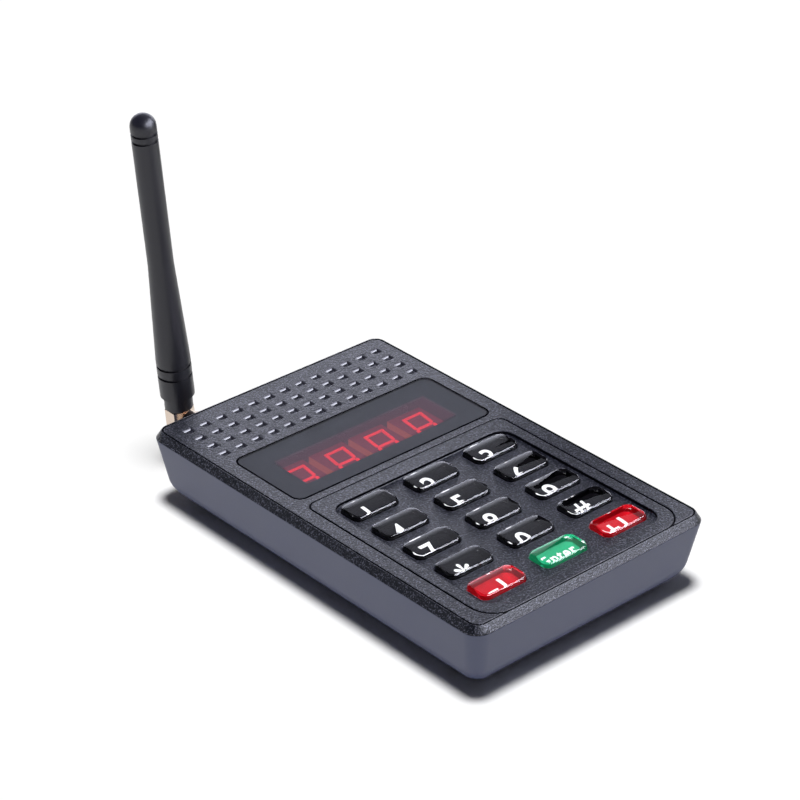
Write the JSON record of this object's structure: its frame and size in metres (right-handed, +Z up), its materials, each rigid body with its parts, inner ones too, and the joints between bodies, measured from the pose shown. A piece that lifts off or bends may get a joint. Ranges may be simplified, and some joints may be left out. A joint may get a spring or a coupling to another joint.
{
  "type": "guest pager transmitter",
  "caption": "Low desk-top guest pager transmitter with a numeric keypad, a red segment display behind a dark window, blind grille dimples and a tilting whip antenna.",
  "frame": {"origin": "on the desk, under the middle of the whole object's bounding box, antenna at rest included", "axes": "+X to the reader's right, +Y away from the reader towards the antenna, +Z up"},
  "size_m": [0.0874, 0.1552, 0.1159],
  "materials": {
    "case_plastic": "fine satin texture",
    "cover_plastic": "spark-eroded grain",
    "screw_steel": "plated",
    "foot_rubber": "matte",
    "mask_film": "printed black film",
    "window_tint": "smoke-tinted, polished",
    "digit_block": "moulded",
    "segment_red": "diffusing lens",
    "switch_black": "moulded",
    "board_green": "solder mask",
    "shield_tin": "tinned sheet",
    "component_black": "moulded",
    "can_aluminium": "drawn",
    "antenna_rubber": "smooth matte",
    "spring_wire": "drawn wire",
    "gold_brass": "gold plated",
    "lead_jacket": "brown jacket",
    "key_clear": "polished",
    "key_black": "polished",
    "key_red": "translucent",
    "key_green": "translucent"
  },
  "bodies": {
    "housing": {"bottom_case": "case_plastic", "top_cover": "cover_plastic", "case_screws": "screw_steel", "board_screws": "screw_steel", "rubber_feet": "foot_rubber", "window_mask": "mask_film", "display_window": "window_tint", "display_digits": "digit_block", "display_segments": "segment_red", "key_switches": "switch_black", "main_board": "board_green", "rf_module": "board_green", "rf_shield": "shield_tin", "buzzer": "component_black", "control_chip": "component_black", "crystal": "shield_tin", "voltage_regulator": "component_black", "filter_capacitor": "can_aluminium", "dc_socket": "component_black", "power_switch_body": "shield_tin", "antenna_jack": "gold_brass", "jack_washer": "gold_brass", "jack_nut": "gold_brass", "coax_lead": "lead_jacket"},
    "key_minus": {"key_cap_minus": "key_clear", "key_plunger_minus": "key_red"},
    "key_enter": {"key_cap_enter": "key_clear", "key_plunger_enter": "key_green"},
    "key_plus": {"key_cap_plus": "key_clear", "key_plunger_plus": "key_red"},
    "key_star": {"key_cap_star": "key_clear", "key_plunger_star": "key_black"},
    "key_0": {"key_cap_0": "key_clear", "key_plunger_0": "key_black"},
    "key_hash": {"key_cap_hash": "key_clear", "key_plunger_hash": "key_black"},
    "key_7": {"key_cap_7": "key_clear", "key_plunger_7": "key_black"},
    "key_8": {"key_cap_8": "key_clear", "key_plunger_8": "key_black"},
    "key_9": {"key_cap_9": "key_clear", "key_plunger_9": "key_black"},
    "key_4": {"key_cap_4": "key_clear", "key_plunger_4": "key_black"},
    "key_5": {"key_cap_5": "key_clear", "key_plunger_5": "key_black"},
    "key_6": {"key_cap_6": "key_clear", "key_plunger_6": "key_black"},
    "key_1": {"key_cap_1": "key_clear", "key_plunger_1": "key_black"},
    "key_2": {"key_cap_2": "key_clear", "key_plunger_2": "key_black"},
    "key_3": {"key_cap_3": "key_clear", "key_plunger_3": "key_black"},
    "power_slider": {"power_switch_slider": "component_black"},
    "antenna": {"antenna_sleeve": "antenna_rubber", "antenna_coil": "spring_wire", "antenna_elbow": "gold_brass"},
    "coupling_nut": {"coupling_nut": "gold_brass"}
  },
  "joints": [
    {"name": "key_minus_press", "type": "slide", "parent": "housing", "child": "key_minus", "axis": [0, 0, -1], "range_m": [0, 0.0005], "stiffness_N_per_m": 3000},
    {"name": "key_enter_press", "type": "slide", "parent": "housing", "child": "key_enter", "axis": [0, 0, -1], "range_m": [0, 0.0005], "stiffness_N_per_m": 3000},
    {"name": "key_plus_press", "type": "slide", "parent": "housing", "child": "key_plus", "axis": [0, 0, -1], "range_m": [0, 0.0005], "stiffness_N_per_m": 3000},
    {"name": "key_star_press", "type": "slide", "parent": "housing", "child": "key_star", "axis": [0, 0, -1], "range_m": [0, 0.0005], "stiffness_N_per_m": 3000},
    {"name": "key_0_press", "type": "slide", "parent": "housing", "child": "key_0", "axis": [0, 0, -1], "range_m": [0, 0.0005], "stiffness_N_per_m": 3000},
    {"name": "key_hash_press", "type": "slide", "parent": "housing", "child": "key_hash", "axis": [0, 0, -1], "range_m": [0, 0.0005], "stiffness_N_per_m": 3000},
    {"name": "key_7_press", "type": "slide", "parent": "housing", "child": "key_7", "axis": [0, 0, -1], "range_m": [0, 0.0005], "stiffness_N_per_m": 3000},
    {"name": "key_8_press", "type": "slide", "parent": "housing", "child": "key_8", "axis": [0, 0, -1], "range_m": [0, 0.0005], "stiffness_N_per_m": 3000},
    {"name": "key_9_press", "type": "slide", "parent": "housing", "child": "key_9", "axis": [0, 0, -1], "range_m": [0, 0.0005], "stiffness_N_per_m": 3000},
    {"name": "key_4_press", "type": "slide", "parent": "housing", "child": "key_4", "axis": [0, 0, -1], "range_m": [0, 0.0005], "stiffness_N_per_m": 3000},
    {"name": "key_5_press", "type": "slide", "parent": "housing", "child": "key_5", "axis": [0, 0, -1], "range_m": [0, 0.0005], "stiffness_N_per_m": 3000},
    {"name": "key_6_press", "type": "slide", "parent": "housing", "child": "key_6", "axis": [0, 0, -1], "range_m": [0, 0.0005], "stiffness_N_per_m": 3000},
    {"name": "key_1_press", "type": "slide", "parent": "housing", "child": "key_1", "axis": [0, 0, -1], "range_m": [0, 0.0005], "stiffness_N_per_m": 3000},
    {"name": "key_2_press", "type": "slide", "parent": "housing", "child": "key_2", "axis": [0, 0, -1], "range_m": [0, 0.0005], "stiffness_N_per_m": 3000},
    {"name": "key_3_press", "type": "slide", "parent": "housing", "child": "key_3", "axis": [0, 0, -1], "range_m": [0, 0.0005], "stiffness_N_per_m": 3000},
    {"name": "power_switch_slide", "type": "slide", "parent": "housing", "child": "power_slider", "axis": [1, 0, 0], "range_m": [0, 0.002]},
    {"name": "antenna_tilt", "type": "hinge", "parent": "housing", "child": "antenna", "pos_m": [-0.0233, 0.07243, 0.0153], "axis": [0, 1, 0], "range_deg": [-85, 95]},
    {"name": "coupling_nut_turn", "type": "hinge", "parent": "antenna", "child": "coupling_nut", "pos_m": [-0.0233, 0.06482, 0.0153], "axis": [0, 1, 0], "continuous": true}
  ]
}
